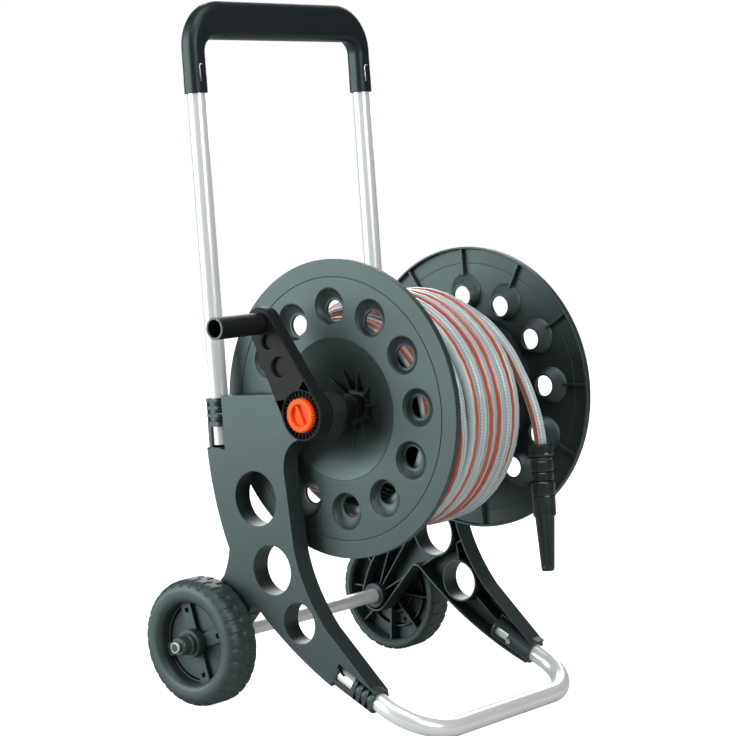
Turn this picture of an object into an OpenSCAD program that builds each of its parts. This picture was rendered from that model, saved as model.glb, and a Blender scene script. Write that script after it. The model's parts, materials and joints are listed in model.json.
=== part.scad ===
// Garden hose reel cart: two moulded side panels joined by aluminium tubes, a hose drum
// that turns between them, a crank on the left side and a water inlet on the right side.
// The part is drawn about the reel's axis (at_reel) and stands on z = 0.
// Front is -Y (foot loop), back is +Y (wheels and handle), the crank is at -X.

/* [Drum] */
// Outside diameter of the two flanges
flange_d = 390; // [384:2:396]
// Distance between the flanges' outer faces
drum_w = 290; // [286:1:292]
// Outside diameter of the core that the hose is wound on
core_d = 204; // [200:1:206]
// Radius of the ring of cup holes in each flange
cup_ring_r = 133.5; // [130:0.5:137]
// Height of the reel's axis above the ground
reel_z = 412; // [410:1:416]

/* [Frame] */
// Distance from the middle of the cart to a side panel's outer face
panel_x = 183; // [182:0.5:184]
// Depth of a side panel's moulding
panel_depth = 28; // [27:0.5:29]
// Wall thickness of the mouldings
wall = 3; // [2.5:0.1:3.5]
// Outside diameter of the handle and foot tubes
tube_d = 25; // [24:0.5:25]
// Wall thickness of the handle and foot tubes
tube_wall = 1.2; // [1:0.1:2]
// Angle by which the handle leans back
handle_lean = 5.25; // [4.5:0.25:6]
// Length of a handle tube from the reel's height to the grip's mouth
handle_h = 407; // [350:1:420]
// Angle at which the foot loop rises to the panels
foot_rise = 23; // [22:0.5:24]
// Bend radius of the foot loop's corners
foot_bend_r = 66; // [50:1:80]

/* [Wheels] */
// Diameter of a wheel
wheel_d = 172; // [164:1:174]
// Width of a wheel
wheel_w = 47; // [40:1:50]
// Diameter of the wheel axle
axle_d = 20; // [18:0.5:20]

/* [Crank] */
// Radius from the reel's axis to the crank grip
crank_r = 134; // [120:1:136]
// Outside diameter of the crank grip
crank_grip_d = 28.5; // [26:0.5:30]
// Length of the crank grip
crank_grip_l = 80; // [70:1:88]

/* [Hose] */
// Outside diameter of the hose
hose_d = 16; // [15.5:0.1:16]
// Distance by which the loose coil hangs below the drum's axis
hose_sag = 13; // [10:0.5:13]

/* [Hidden] */
$fn = 72;

// Colours of the pieces
charcoal = [0.30, 0.34, 0.34];
black = [0.09, 0.10, 0.11];
alu = [0.86, 0.88, 0.89];
steel = [0.62, 0.64, 0.66];
orange = [0.95, 0.32, 0.10];
hose_grey = [0.72, 0.80, 0.80];

// Running clearance of turning pieces and fitting clearance of fixed ones
run = 0.05;
fitc = 0.05;
tube_fit = 0.1;

// The reel's axis stands off the origin, so that the whole cart is centred on it
mid_x = 23;
reel_y = -41.5;

// Handle tubes and foot loop, measured from the reel's axis
tube_x = 168;
handle_y = 191.5;
handle_low = 62;
sleeve_r = 17.6;
grip_in = 24;
grip_top = 123;
grip_bar = 51.5;
grip_half = 14.3;
grip_depth = 28;
foot_y = -165;
foot_z = tube_d / 2 - reel_z;
foot_leg = 148;
foot_mouth = 83;

// Wheel axle, measured from the reel's axis
axle_y = 192;
axle_z = wheel_d / 2 - reel_z;
wheel_in = panel_x + 2;
wheel_out = wheel_in + wheel_w;
axle_end = wheel_out + 17;

// Drum and spindle
drum_x = drum_w / 2;
rim_depth = 10;
cone_r = 92;
cone_x = drum_x - 34;
hub_r = 21;
journal_r = 11;
shaft_r = 14;
bush_r = 16;
boss_r = 23;
panel_in = panel_x - panel_depth;
water_r = 5.5;
nose_r = 9;
nose_end = panel_x + 19;

// Crank, measured outwards from the middle of the cart
crank_in = panel_x + 5;
crank_out = panel_x + 33;
crank_hub_r = 33;
crank_angle = 57;
drive = 15;
grip_x0 = crank_out + 1.5;
grip_x1 = grip_x0 + crank_grip_l;
pin_r = 6;
knob_r = 22;
knob_out = panel_x + 37;
stem_r = 5;

// Hose coil: three layers of turns, and the turn pitch along the drum
turn = hose_d * 1.025;
layer = hose_d * sin(60);
coil_x0 = -132.5;
coil_r0 = core_d / 2 + hose_sag + 1.3;
coil_r1 = coil_r0 + hose_d + 2 * layer;
layer_start = [coil_x0, -100, -77];
layer_turns = [12, 8.9, 7.5];

// Hose tail: its route over the coil's last turns, down and into the connector
tail_x = 55;
end_tilt = 5;
end_pt = [tail_x, -178, -50];
end_dir = [0, -sin(end_tilt), -cos(end_tilt)];
tail_pts = [
    [tail_x, 20, 127.5], [tail_x, -4, 128], [tail_x, -29, 125], [tail_x, -53, 117.5], [tail_x, -76, 106.5],
    [tail_x, -96, 94], [tail_x, -113, 79], [tail_x, -129, 61], [tail_x, -142.5, 41], [tail_x, -153.5, 23],
    [tail_x, -162.5, 4.5], [tail_x, -169.5, -13], [tail_x, -174.5, -30], end_pt - 6 * end_dir, end_pt,
    end_pt + 21 * end_dir
];

// ------------------------------------------------------------------ helpers

module at_reel() translate([mid_x, reel_y, reel_z]) children();

// Draws on the right side of the cart, or mirrored on the left side for s = -1
module side(s) at_reel() mirror([s < 0 ? 1 : 0, 0, 0]) children();

// Round bar along X from x0 to x1
module bar_x(x0, x1, r) translate([x0, 0, 0]) rotate([0, 90, 0]) cylinder(h = x1 - x0, r = r);

// Body of revolution about X: the outline's first value is the radius, its second is x
module spin_x(pts) rotate([0, 90, 0]) rotate_extrude() polygon(pts);

// Plate in the YZ plane from x0 to x1
module plate_x(x0, x1) translate([x0, 0, 0]) rotate([90, 0, 90]) linear_extrude(x1 - x0) children();

module at_axle() translate([0, axle_y, axle_z]) children();

module at_handle() translate([tube_x, handle_y, 0]) rotate([-handle_lean, 0, 0]) children();

module at_foot() translate([0, foot_y, foot_z]) rotate([foot_rise, 0, 0]) children();

module at_crank_grip() translate([0, crank_r * cos(crank_angle), crank_r * sin(crank_angle)]) children();

// Frame of the pieces on the hose's end: +Z runs along them, away from the hose
module at_end() at_reel() translate(end_pt) rotate([180 - end_tilt, 0, 0]) children();

function bez(a, b, c, n = 10) = [
    for (i = [0:n - 1]) let (t = i / n) (1 - t) * (1 - t) * a + 2 * t * (1 - t) * b + t * t * c
];

function arc(c, r, a0, a1, n = 10) = [
    for (i = [0:n]) let (a = a0 + (a1 - a0) * i / n) c + r * [cos(a), sin(a)]
];

function unit(v) = v / norm(v);

function left_of(v) = [-v[1], v[0]];

// Moves a counter-clockwise outline inwards by d
function inset(p, d) = let (n = len(p)) [
    for (i = [0:n - 1]) let (
        a = left_of(unit(p[i] - p[(i + n - 1) % n])),
        b = left_of(unit(p[(i + 1) % n] - p[i]))
    ) p[i] + d * (a + b) / (1 + a * b)
];

// ------------------------------------------------------------------ side panels

// Outline of a side panel seen from the side, from the handle socket round by the reel,
// the foot socket, the arch and the axle boss
panel_outline = concat(
    [[206, 2]],
    arc([0, 0], boss_r + 1.5, 84, 255, 16),
    bez([25, -36.5], [64, -44], [60.5, -85], 8),
    bez([60.5, -85], [52, -135], [43.5, -185], 6),
    bez([43.5, -185], [31, -236], [-12, -283], 8),
    [[-12, -283], [-94.5, -353.5]],
    bez([-82.6, -381.6], [25, -344.5], [108, -273.5], 12),
    bez([108, -273.5], [116, -268], [122, -276], 4),
    arc([axle_y, axle_z], 24, 220, 380, 12),
    bez([212, -309], [202, -272], [171, -237], 8),
    bez([171, -237], [163, -222], [160.5, -199], 4),
    bez([160.5, -199], [190, -140], [200.5, -66], 8),
    [[200.5, -66]]
);

// Round holes through the panel: y, z, radius
panel_holes = [[111.5, -125.6, 36.5], [82.6, -217.6, 33], [34.5, -281.9, 27]];

// Stiffening ribs inside the panel, from point to point
panel_ribs = [
    [[axle_y, axle_z], [28, -219]], [[axle_y, axle_z], [100, -180]],
    [[axle_y, axle_z], [152, -200]], [[0, 0], [111, -90]], [[0, 0], [190, -20]],
    [[111, -125], [196, -110]], [[111, -125], [60, -130]], [[34, -282], [60, -160]],
    [[34, -282], [-40, -340]], [[111, -125], [160, -20]], [[82, -218], [111, -125]]
];

module rib(a, b) {
    n = left_of(unit(b - a)) * 1.1;
    polygon([a + n, b + n, b - n, a - n]);
}

// Sleeve round a tube's end, flush with the panel's face
module socket_sleeve(h) intersection() {
    cylinder(h = h, r = sleeve_r);
    translate([-30, -30, -1]) cube([30 + panel_x - tube_x - 0.2, 60, h + 2]);
}

// Grip grooves and a window in the outer half of a tube socket, and a window in its inner side
module socket_cuts(mouth, dir) {
    for (i = [0:2])
        translate([0, 0, mouth + dir * (6.5 + 10.5 * i) - 3]) difference() {
            translate([0, -22, 0]) cube([30, 44, 6]);
            translate([0, 0, -1]) cylinder(h = 8, r = tube_d / 2 + 1.6);
        }
    translate([0, -22, mouth + dir * 51 - 14])
        cube([30, 26, 28]);
    translate([-30, -8, mouth + dir * 51 - 12])
        cube([20, 16, 24]);
}

// Notches in the panel's outer half that bare the two tube sockets
module socket_notches() {
    translate([handle_y, 0]) rotate(-handle_lean) translate([-19, -67]) square([43, 90]);
    translate([foot_y, foot_z]) rotate(foot_rise) translate([foot_mouth - 6, -24]) square([73, 42]);
}

module outer_shape() difference() {
    polygon(panel_outline);
    socket_notches();
}

module side_panel(s) color(charcoal) side(s) difference() {
    union() {
        plate_x(panel_x - wall, panel_x) outer_shape();
        plate_x(panel_in, tube_x + 0.5) difference() {
            polygon(panel_outline);
            polygon(inset(panel_outline, wall));
        }
        plate_x(tube_x, panel_x - 1) difference() {
            outer_shape();
            polygon(inset(panel_outline, wall));
        }
        plate_x(panel_in + 6, panel_x - 1) intersection() {
            outer_shape();
            for (r = panel_ribs) rib(r[0], r[1]);
        }
        for (h = panel_holes) translate([0, h[0], h[1]]) bar_x(panel_in, panel_x - 1, h[2] + wall);
        bar_x(panel_in, panel_x - 1, boss_r);
        at_axle() bar_x(panel_in, panel_x - 1, 18);
        at_handle() translate([0, 0, -handle_low - 5]) socket_sleeve(handle_low + 6);
        translate([tube_x, 0, 0]) at_foot() rotate([-90, 0, 0])
            translate([0, 0, foot_mouth - 1]) socket_sleeve(foot_leg - foot_mouth + 6);
    }
    for (h = panel_holes) translate([0, h[0], h[1]]) bar_x(panel_in - 1, panel_x + 1, h[2]);
    bar_x(panel_in - 1, panel_x + 1, bush_r + fitc);
    at_axle() bar_x(panel_in - 1, panel_x + 1, axle_d / 2 + fitc);
    at_handle() translate([0, 0, -handle_low]) cylinder(h = handle_low + 20, r = tube_d / 2 + tube_fit);
    at_tube_screws() screw_hole();
    at_handle() socket_cuts(0, -1);
    translate([tube_x, 0, 0]) at_foot() rotate([-90, 0, 0]) {
        translate([0, 0, foot_mouth - 20])
            cylinder(h = foot_leg - foot_mouth + 20, r = tube_d / 2 + tube_fit);
        socket_cuts(foot_mouth, 1);
    }
}

module side_panel_left() side_panel(-1);
module side_panel_right() side_panel(1);

// ------------------------------------------------------------------ tubes and grip

module handle_tube(s) color(alu) side(s) at_handle() translate([0, 0, -handle_low + fitc])
    difference() {
        cylinder(h = handle_low + handle_h + grip_in - 2 * fitc, r = tube_d / 2);
        translate([0, 0, -1]) cylinder(h = handle_low + handle_h + grip_in + 2, r = tube_d / 2 - tube_wall);
        translate([-tube_x, 0, handle_low - 34 - fitc]) screw_hole();
    }

module handle_tube_left() handle_tube(-1);
module handle_tube_right() handle_tube(1);

// Outline of the grip in the handle's plane, open at the bottom between the legs
grip_w = tube_x + grip_half;
grip_gap = tube_x - grip_half;
grip_outline = concat(
    [[grip_w, handle_h]],
    arc([grip_w - 64, handle_h + grip_top - 64], 64, 0, 90, 14),
    arc([64 - grip_w, handle_h + grip_top - 64], 64, 90, 180, 14),
    [[-grip_w, handle_h], [-grip_gap, handle_h]],
    arc([18 - grip_gap, handle_h + grip_top - grip_bar - 18], 18, 180, 90, 6),
    arc([grip_gap - 18, handle_h + grip_top - grip_bar - 18], 18, 90, 0, 6),
    [[grip_gap, handle_h]]
);

module handle_grip() color(black) at_reel() translate([0, handle_y, 0]) rotate([-handle_lean, 0, 0])
    difference() {
        rotate([90, 0, 0]) translate([0, 0, -grip_depth / 2]) linear_extrude(grip_depth) polygon(grip_outline);
        for (s = [-1, 1]) translate([s * tube_x, 0, 0]) {
            translate([0, 0, handle_h - 1]) cylinder(h = grip_in + 1, r = tube_d / 2 + tube_fit);
            translate([-4, -grip_depth / 2 - 1, handle_h + 14]) cube([8, 3, 26]);
        }
    }

// Snap tongues in the front of the grip's legs
module grip_clips() color(black) at_reel() translate([0, handle_y, 0]) rotate([-handle_lean, 0, 0])
    for (s = [-1, 1]) translate([s * tube_x, 0, handle_h + 15.5]) difference() {
        translate([-2.5, -grip_depth / 2 + 0.3, 0]) cube([5, 4, 23]);
        translate([0, 0, -1]) cylinder(h = 25, r = tube_d / 2 + fitc);
    }

// Foot loop: a bar on the ground, two bends and two legs that rise into the panels
module foot_rod(r) {
    cx = tube_x - foot_bend_r;
    translate([-cx, 0, 0]) rotate([0, 90, 0]) cylinder(h = 2 * cx, r = r);
    for (s = [0, 1]) mirror([s, 0, 0]) {
        translate([cx, foot_bend_r, 0]) rotate([0, 0, -90]) rotate_extrude(angle = 90)
            translate([foot_bend_r, 0]) circle(r);
        translate([tube_x, foot_bend_r, 0]) rotate([-90, 0, 0])
            cylinder(h = foot_leg - foot_bend_r - fitc, r = r);
    }
}

module foot_tube() color(alu) at_reel() at_foot() difference() {
    foot_rod(tube_d / 2);
    foot_rod(tube_d / 2 - tube_wall);
    for (s = [-1, 1]) translate([s * tube_x, foot_leg - 1, 0]) rotate([-90, 0, 0])
        cylinder(h = 5, r = tube_d / 2 - tube_wall);
    for (s = [0, 1]) mirror([s, 0, 0]) translate([0, foot_mouth + 34, 0]) screw_hole();
}

// Self-tapping screws that hold the tubes, driven from the panels' inner sides
module at_tube_screws() {
    translate([0, handle_y, 0]) rotate([-handle_lean, 0, 0]) translate([0, 0, -34]) children();
    at_foot() translate([0, foot_mouth + 34, 0]) children();
}

module screw_hole() bar_x(tube_x - 20, tube_x, 1.6);

module frame_screws() color(steel) for (s = [-1, 1]) side(s) at_tube_screws() {
    bar_x(tube_x - sleeve_r - 2.1, tube_x - sleeve_r - 0.1, 3.6);
    bar_x(tube_x - sleeve_r - 1, tube_x - 6, 1.5);
}

// ------------------------------------------------------------------ wheels

module wheel_axle() color(alu) at_reel() at_axle() difference() {
    bar_x(-axle_end, axle_end, axle_d / 2);
    bar_x(-axle_end - 1, axle_end + 1, axle_d / 2 - 1.5);
}

wheel_r = wheel_d / 2;
web_x = wheel_out - 21;

// Half section of the wheel: hub, web and a rounded hollow tread ring
wheel_section = concat(
    [[axle_d / 2 + run, wheel_in], [15, wheel_in], [15, web_x - 4]],
    [[wheel_r - 14, web_x - 4], [wheel_r - 14, wheel_in + 2], [wheel_r - 6, wheel_in]],
    arc([wheel_r - 6, wheel_in + 6], 6, -90, 0, 5),
    arc([wheel_r - 15, wheel_out - 15], 15, 0, 90, 8),
    arc([wheel_r - 19, wheel_out - 9], 9, 90, 180, 5),
    [[wheel_r - 29, web_x], [14, web_x], [14, wheel_out - 2], [axle_d / 2 + run, wheel_out - 2]]
);

module wheel(s) color(charcoal) side(s) at_axle() difference() {
    union() {
        spin_x(wheel_section);
        for (a = [-20:90:250]) rotate([a, 0, 0])
            translate([web_x - 1, -8, 13]) cube([6, 16, wheel_r - 41]);
        for (a = [0:45:315]) rotate([a, 0, 0])
            translate([wheel_in + 8, -1.2, 14]) cube([web_x - wheel_in - 10, 2.4, wheel_r - 27]);
    }
    for (a = [-20:90:250]) rotate([a, 0, 0])
        translate([web_x - 10, -3, wheel_r - 39]) cube([20, 6, 8]);
    for (i = [0:29], row = [0, 1]) rotate([12 * i + 6 * row, 0, 0])
        translate([row * (wheel_w - 12) + wheel_in - 1, -2, wheel_r - 2]) cube([14, 4, 5]);
}

module wheel_left() wheel(-1);
module wheel_right() wheel(1);

module axle_washers() color(black) for (s = [-1, 1]) side(s) at_axle() difference() {
    bar_x(panel_x + 0.3, wheel_in - 0.3, 14);
    bar_x(panel_x, wheel_in, axle_d / 2 + fitc);
}

// Push-on cap that keeps the wheel on the axle
module hub_cap(s) color(charcoal) side(s) at_axle() difference() {
    spin_x([[0, wheel_out - 1.6], [14.5, wheel_out - 1.6], [14.5, wheel_out + 2], [13, wheel_out + 3.5],
        [13, axle_end + 1.2], [11, axle_end + 3], [0, axle_end + 3]]);
    bar_x(wheel_out - 3, axle_end + 0.1, axle_d / 2 + fitc);
}

module hub_cap_left() hub_cap(-1);
module hub_cap_right() hub_cap(1);

// ------------------------------------------------------------------ drum

// Half section of a flange: rim, disc, dished cone and hub sleeve
flange_r = flange_d / 2;
flange_section = [
    [shaft_r + fitc, cone_x - 16], [hub_r, cone_x - 16], [hub_r, cone_x - wall], [hub_r + 6, cone_x - wall],
    [cone_r - 1, drum_x - wall - 1], [flange_r - 4, drum_x - wall - 1], [flange_r - wall, drum_x - rim_depth],
    [flange_r, drum_x - rim_depth], [flange_r, drum_x - 1.5], [flange_r - 1.5, drum_x],
    [cone_r + 1, drum_x], [cone_r, drum_x - 1], [hub_r + 5, cone_x], [shaft_r + fitc, cone_x]
];

// Cup holes: wide at the outer face and narrow at the inner end, a step nearer the hub
cup_d = 49;
cup_hole_d = 27.5;
cup_depth = 12;
cup_phase = 6.24;
cup_shift = 6;

module cup_ring() for (k = [0:11]) rotate([30 * k - cup_phase, 0, 0]) children();

module cup_wall() translate([drum_x - cup_depth, 0, cup_ring_r - cup_shift])
    rotate([0, 90, 0]) cylinder(h = cup_depth - 1, r = cup_hole_d / 2 + 3);

module cup_cut() {
    translate([drum_x - 9, 0, cup_ring_r - cup_shift + 4]) rotate([0, 90, 0])
        cylinder(h = 10, r1 = cup_hole_d / 2, r2 = cup_d / 2 - 3);
    translate([drum_x - cup_depth - 1, 0, cup_ring_r - cup_shift])
        rotate([0, 90, 0]) cylinder(h = 14, r = cup_hole_d / 2);
}

module flange(s) color(charcoal) side(s) difference() {
    union() {
        spin_x(flange_section);
        cup_ring() cup_wall();
        cup_ring() translate([drum_x - 8, -1.5, cup_ring_r + 8]) cube([5, 3, flange_r - cup_ring_r - 10]);
        for (a = [22.5:45:337.5]) rotate([a, 0, 0])
            translate([cone_x - 12, -1.2, hub_r - 1]) cube([10, 2.4, 30]);
        for (a = [10:30:340]) rotate([a, 0, 0])
            translate([cone_x - 1, -1.2, hub_r + 2]) cube([5, 2.4, 24]);
    }
    cup_ring() cup_cut();
    spin_x([[flange_r * 0.88, drum_x - 0.8], [flange_r * 0.88 + 1.2, drum_x - 0.8],
        [flange_r * 0.88 + 1.2, drum_x + 1], [flange_r * 0.88, drum_x + 1]]);
}

module flange_left() flange(-1);
module flange_right() flange(1);

core_r = core_d / 2;
core_end = drum_x - wall - 1 - fitc;
start_x = coil_x0 + 14;
outlet = 36;

// Core tube with a hole for the water outlet
module drum_core() color(charcoal) at_reel() difference() {
    bar_x(-core_end, core_end, core_r);
    bar_x(-core_end - 1, core_end + 1, core_r - wall);
    translate([start_x, 0, -core_r - 5]) cylinder(h = 20, r = 8);
}

// Hollow shaft: plain journals, a square drive for the crank at the left end, and a nose
// for the water inlet at the right end
module reel_spindle() color(black) at_reel() difference() {
    union() {
        bar_x(-cone_x - 2, cone_x + 2, shaft_r);
        bar_x(-crank_in + 0.3, panel_x + 0.7, journal_r);
        bar_x(panel_x, nose_end, nose_r);
        translate([-crank_out + 6.4, -drive / 2, -drive / 2]) cube([crank_out - crank_in - 5, drive, drive]);
    }
    bar_x(start_x + outlet - 10, nose_end + 1, water_r);
    bar_x(-crank_out - 1, -panel_in, stem_r + run);
    translate([start_x + outlet, 0, -shaft_r - 1]) cylinder(h = shaft_r, r = 6);
}

// Rings on the spindle that clamp the flanges against the core, with a set screw each
ring_x = cone_x + 2.1;

module spindle_rings() color(black) for (s = [-1, 1]) side(s) difference() {
    bar_x(ring_x, ring_x + 9, shaft_r + 3);
    bar_x(ring_x - 1, ring_x + 10, journal_r + fitc);
    translate([ring_x + 4.5, 0, journal_r]) cylinder(h = 10, r = 2);
}

module ring_screws() color(steel) for (s = [-1, 1]) side(s)
    translate([ring_x + 4.5, 0, journal_r + fitc]) cylinder(h = 5.5, r = 2 - fitc);

// Water pipe from the spindle to the hose's inner end, outside the core
module water_elbow() color(black) at_reel() translate([start_x, 0, 0]) difference() {
    union() {
        translate([outlet, 0, -40]) cylinder(h = 40 - shaft_r - fitc, r = 7);
        translate([outlet, 0, -40]) sphere(8);
        translate([outlet, 0, -40]) rotate([0, 180 + atan2(outlet, 35), 0]) cylinder(h = norm([outlet, 35]), r = 6.5);
        translate([0, 0, -75]) sphere(8);
        translate([0, 0, -112]) cylinder(h = 37, r = 7);
        translate([0, 0, -112]) sphere(8);
        translate([0, 0, -112]) rotate([-90, 0, 0]) cylinder(h = 16, r = 7);
        translate([outlet, 0, -shaft_r - fitc - 4]) cylinder(h = 4 + shaft_r - water_r, r = 6 - fitc);
    }
    translate([outlet, 0, -40]) cylinder(h = 40, r = 4);
    translate([outlet, 0, -41.5]) rotate([0, 180 + atan2(outlet, 32), 0]) cylinder(h = norm([outlet, 32]), r = 3);
    translate([0, 0, -113]) cylinder(h = 40, r = 4);
    translate([0, 1, -112]) rotate([-90, 0, 0]) cylinder(h = 17, r = 3.5);
}

// Socket on the hose's inner end, pushed on the water pipe
module hose_start_connector() color(black) at_reel() translate([start_x, 10, -112]) rotate([-90, 0, 0])
    difference() {
        cylinder(h = 28, r = 9.3);
        translate([0, 0, -1]) cylinder(h = 8, r = 7 + fitc);
        cylinder(h = 40, r = 5);
    }

// ------------------------------------------------------------------ bearings and water inlet

module reel_bush(s) color(black) side(s) difference() {
    union() {
        bar_x(panel_in - 3, panel_x + 0.1, bush_r);
        bar_x(panel_in - 3, panel_in - fitc, bush_r + 4);
    }
    bar_x(panel_in - 5, panel_x + 1, journal_r + run);
}

module reel_bush_left() reel_bush(-1);
module reel_bush_right() reel_bush(1);

// Elbow that swivels on the spindle's nose and points down
elbow_x = nose_end + 8;
seal_x = [panel_x + 10, panel_x + 15];

module inlet_elbow() color(black) at_reel() difference() {
    union() {
        bar_x(panel_x + 3.5, elbow_x + 9, 15.5);
        translate([elbow_x, 0, -34]) cylinder(h = 34, r = 11);
        translate([elbow_x, 0, -34]) cylinder(h = 6, r = 17, $fn = 6);
    }
    bar_x(panel_x + 3, nose_end + 0.5, nose_r + run);
    bar_x(nose_end, elbow_x, 6);
    bar_x(panel_x + 3, panel_x + 7, 13);
    for (x = seal_x) bar_x(x - 1.2, x + 1.2, nose_r + 2.1);
    translate([elbow_x, 0, -40]) cylinder(h = 40, r = 6);
}

// Threaded spigot that a tap connector screws on; the thread is plain at its outer size
thread_r = 13.2;

module inlet_thread() color(black) at_reel() translate([elbow_x, 0, -52]) difference() {
    union() {
        cylinder(h = 14, r = thread_r);
        cylinder(h = 17.9, r = 10);
    }
    translate([0, 0, -1]) cylinder(h = 30, r = 6);
}

// Two sealing rings between the nose and the elbow
module inlet_seals() color(black) at_reel() for (x = seal_x)
    translate([x, 0, 0]) rotate([0, 90, 0]) rotate_extrude() translate([nose_r + run + 1, 0]) circle(1, $fn = 16);

// Ring that keeps the elbow on the nose
module inlet_gland() color(black) at_reel() difference() {
    bar_x(panel_x + 3.6, panel_x + 6.8, 12.9);
    bar_x(panel_x, panel_x + 8, nose_r + run);
}

// ------------------------------------------------------------------ crank

module crank_arm() color(black) side(-1) difference() {
    union() {
        bar_x(crank_in, crank_out, crank_hub_r);
        at_crank_grip() bar_x(crank_in + 8, crank_out, 21);
        plate_x(crank_in + 8, crank_out - 1) rotate(crank_angle)
            polygon([[0, -crank_hub_r + 1], [crank_r + 4, -20], [crank_r + 4, 20], [0, crank_hub_r - 1]]);
        rotate([crank_angle, 0, 0]) translate([0, 88, -7]) bar_x(crank_in + 8, crank_out - 2, 21);
    }
    bar_x(crank_out - 5, crank_out + 1, 30.4);
    translate([crank_in - 1, -drive / 2 - fitc, -drive / 2 - fitc])
        cube([crank_out - crank_in, drive + 2 * fitc, drive + 2 * fitc]);
    for (d = [107, 70]) rotate([crank_angle, 0, 0]) translate([0, d, 0])
        bar_x(crank_out - 3, crank_out + 1, 10);
    rotate([crank_angle, 0, 0]) for (t = [-1, 1])
        translate([crank_out - 4, 30, t * 23 - 3]) cube([5, 6, 6]);
    at_crank_grip() bar_x(crank_in, crank_out + 1, pin_r + fitc);
}

// Steel pin that the grip turns on
module crank_pin() color(steel) side(-1) at_crank_grip() {
    bar_x(crank_in + 8.2, grip_x0 + 40, pin_r);
}

module crank_grip() color(black) side(-1) at_crank_grip() difference() {
    union() {
        bar_x(grip_x0, grip_x1, crank_grip_d / 2);
        bar_x(grip_x0 - 1.1, grip_x0, 11);
    }
    bar_x(grip_x0 - 2, grip_x0 + 36, pin_r + run);
    bar_x(grip_x0 + 34, grip_x1 + 1, crank_grip_d / 2 - 2.6);
}

// Push-on clip that keeps the grip on its pin
module pin_clip() color(steel) side(-1) at_crank_grip() difference() {
    bar_x(grip_x0 + 34.4, grip_x0 + 36, 9);
    bar_x(grip_x0 + 34, grip_x0 + 37, pin_r + fitc);
}

// Serrated lock knob on the crank's hub, with a slanting grip bar in its face
module lock_knob() color(orange) side(-1) difference() {
    union() {
        bar_x(crank_out - 4.6, knob_out, knob_r - 1.4);
        for (a = [0:12:348]) rotate([a, 0, 0])
            translate([crank_out - 4.6, -1.2, knob_r - 3]) cube([knob_out - crank_out + 3.6, 2.4, 3]);
        bar_x(crank_out - 4.6, crank_out - 2, knob_r);
    }
    difference() {
        bar_x(knob_out - 5, knob_out + 1, 15.5);
        rotate([-28, 0, 0]) translate([knob_out - 6, -2, -15]) cube([5, 4, 30]);
    }
    bar_x(crank_out - 6, knob_out - 7, stem_r + fitc);
}

module lock_stem() color(steel) side(-1) bar_x(panel_in + 2, knob_out - 7.2, stem_r);

// ------------------------------------------------------------------ hose

// Coil of hose: the outer shape of the layers, hanging a little below the drum's axis
function layer_top(i) = coil_r0 + hose_d + i * layer;
function layer_end(i) = layer_start[i] + layer_turns[i] * turn;

module hose_pack() color(hose_grey) at_reel() translate([0, 0, -hose_sag]) spin_x([
    [coil_r0, coil_x0], [layer_top(0), coil_x0], [layer_top(0), layer_start[1]],
    [layer_top(1), layer_start[1]], [layer_top(1), layer_start[2]], [layer_top(2), layer_start[2]],
    [layer_top(2), layer_end(2)], [layer_top(1), layer_end(2)], [layer_top(1), layer_end(1)],
    [layer_top(0), layer_end(1)], [layer_top(0), layer_end(0)], [coil_r0, layer_end(0)]
]);

// Tube swept along a route: one ring of points square to the route at each of its points
sides = 12;
function heading(p, i) = unit(p[min(i + 1, len(p) - 1)] - p[max(i - 1, 0)]);
function ring(c, t, r) = let (u = unit(cross(t, [1, 0, 0])), v = cross(t, u))
    [for (k = [0:sides - 1]) c + r * (cos(360 * k / sides) * u + sin(360 * k / sides) * v)];

module sweep(p, r) {
    n = len(p);
    points = [for (i = [0:n - 1]) each ring(p[i], heading(p, i), r)];
    walls = [for (i = [0:n - 2], k = [0:sides - 1]) let (a = i * sides, b = a + sides, j = (k + 1) % sides)
        [a + k, b + k, b + j, a + j]];
    caps = [[for (k = [0:sides - 1]) k], [for (k = [0:sides - 1]) n * sides - 1 - k]];
    polyhedron(points, concat(walls, caps));
}

module hose_tail() color(hose_grey) at_reel() sweep(tail_pts, hose_d / 2);

// Socket on the hose's end with a gripping nut, and its sliding sleeve
module hose_connector() color(black) at_end() difference() {
    union() {
        translate([0, 0, 0.1]) cylinder(h = 17, r = 17);
        translate([0, 0, 17]) cylinder(h = 20, r = 12.5);
    }
    translate([0, 0, -1]) cylinder(h = 22.2, r = hose_d / 2 + tube_fit);
    translate([0, 0, 24]) cylinder(h = 20, r = 9 + fitc);
    translate([0, 0, 3]) cylinder(h = 30, r = 5);
}

module connector_sleeve() color(black) at_end() difference() {
    translate([0, 0, 17.4]) cylinder(h = 19, r = 14.5);
    translate([0, 0, 17]) cylinder(h = 30, r = 12.5 + fitc);
}

module nozzle_body() color(black) at_end() difference() {
    union() {
        translate([0, 0, 24.2]) cylinder(h = 14, r = 9);
        translate([0, 0, 37.4]) cylinder(h = 12, r = 14);
        translate([0, 0, 49]) cylinder(h = 26, r = 10.5);
        translate([0, 0, 74]) cylinder(h = 40, r = 6);
    }
    translate([0, 0, 22]) cylinder(h = 85, r = 4);
}

// Turning head: a wide grip part and a tapered tube
module nozzle_head() color(black) at_end() difference() {
    union() {
        translate([0, 0, 49.6]) cylinder(h = 48, r = 15.5);
        translate([0, 0, 97]) cylinder(h = 72, r1 = 13, r2 = 8.5);
    }
    translate([0, 0, 49]) cylinder(h = 29, r = 10.5 + run);
    translate([0, 0, 77]) cylinder(h = 82, r = 7.6);
    translate([0, 0, 158]) cylinder(h = 12, r = 5);
}

module nozzle_seal() color(black) at_end() translate([0, 0, 104]) rotate_extrude()
    translate([6.75, 0]) circle(0.7, $fn = 16);

// ------------------------------------------------------------------ output

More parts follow.
